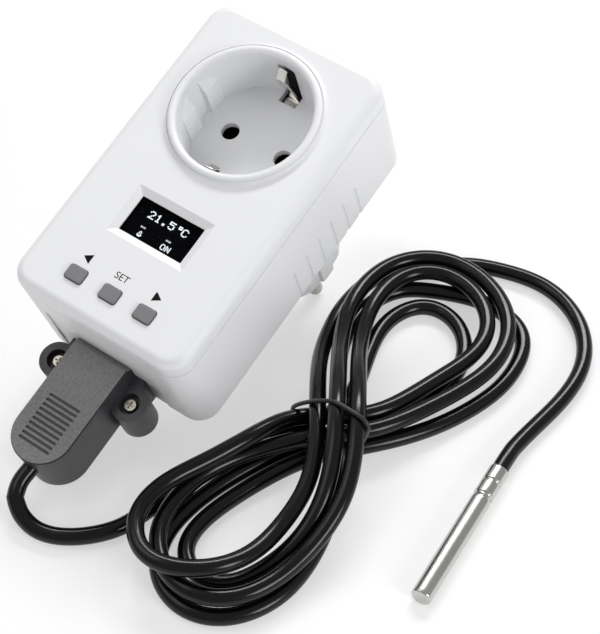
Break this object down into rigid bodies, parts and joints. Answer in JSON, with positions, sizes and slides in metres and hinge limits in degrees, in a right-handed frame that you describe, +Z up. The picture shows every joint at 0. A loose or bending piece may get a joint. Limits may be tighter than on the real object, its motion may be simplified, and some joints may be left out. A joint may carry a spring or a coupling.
{
  "type": "plug-in temperature switch",
  "caption": "Plug-in thermostat with an earthed through-socket, a small display, push keys and a wired immersion probe.",
  "frame": {"origin": "middle of the footprint of the switch, without its cable, on the surface that it lies on", "axes": "+Z up; +Y towards the socket end; the housing leans about 20 degrees about X, on its plug pins and the toe of its cable hood"},
  "size_m": [0.1393, 0.1718, 0.0856],
  "materials": {
    "housing": "satin white moulded plastic",
    "steel_screw": "zinc-plated steel",
    "pin_metal": "nickel-plated brass",
    "clip_metal": "tinned spring sheet",
    "contact_brass": "plain brass",
    "carrier": "moulded insulating plastic",
    "pane": "clear pane",
    "display": "black display glass",
    "frame": "black plastic",
    "board": "green solder mask",
    "switch": "black plastic",
    "plunger": "ivory plastic",
    "key": "satin grey plastic",
    "relay": "blue plastic case",
    "fuse": "ceramic tube",
    "terminals": "green plastic",
    "hood": "fine-grained black plastic",
    "cable": "smooth black cable sheath",
    "tie": "black coated wire",
    "probe": "smooth stainless steel",
    "resin": "potting resin",
    "element": "glass-coated bead"
  },
  "bodies": {
    "switch": {"front_cover": "housing", "rear_shell": "housing", "housing_screws": "steel_screw", "plug_pins": "pin_metal", "plug_earth_strips": "pin_metal", "contact_carrier": "carrier", "socket_contacts": "contact_brass", "earth_bracket": "clip_metal", "carrier_screws": "steel_screw", "display_pane": "pane", "display_glass": "display", "display_frame": "frame", "control_board": "board", "board_screws": "steel_screw", "switch_bodies": "switch", "power_board": "board", "relay": "relay", "power_module": "frame", "capacitor": "frame", "fuse": "fuse", "terminal_block": "terminals", "sensor_jack": "frame", "jack_pins": "contact_brass", "sensor_connector": "frame", "hood_upper": "hood", "hood_lower": "hood", "hood_screws": "steel_screw", "cable_clamp": "frame", "cable_root": "cable", "cable_lead": "cable", "cable_hank": "cable", "cable_tail": "cable", "cable_tie": "tie", "cable_end": "cable", "probe_sheath": "probe", "probe_filling": "resin", "probe_element": "element"},
    "key_left": {"button_left": "key", "plunger_left": "plunger"},
    "key_set": {"button_set": "key", "plunger_set": "plunger"},
    "key_right": {"button_right": "key", "plunger_right": "plunger"}
  },
  "joints": [
    {"name": "key_left_press", "type": "slide", "parent": "switch", "child": "key_left", "axis": [0, 0.3414, -0.9399], "range_m": [0, 0.0005], "stiffness_N_per_m": 400},
    {"name": "key_set_press", "type": "slide", "parent": "switch", "child": "key_set", "axis": [0, 0.3414, -0.9399], "range_m": [0, 0.0005], "stiffness_N_per_m": 400},
    {"name": "key_right_press", "type": "slide", "parent": "switch", "child": "key_right", "axis": [0, 0.3414, -0.9399], "range_m": [0, 0.0005], "stiffness_N_per_m": 400}
  ]
}
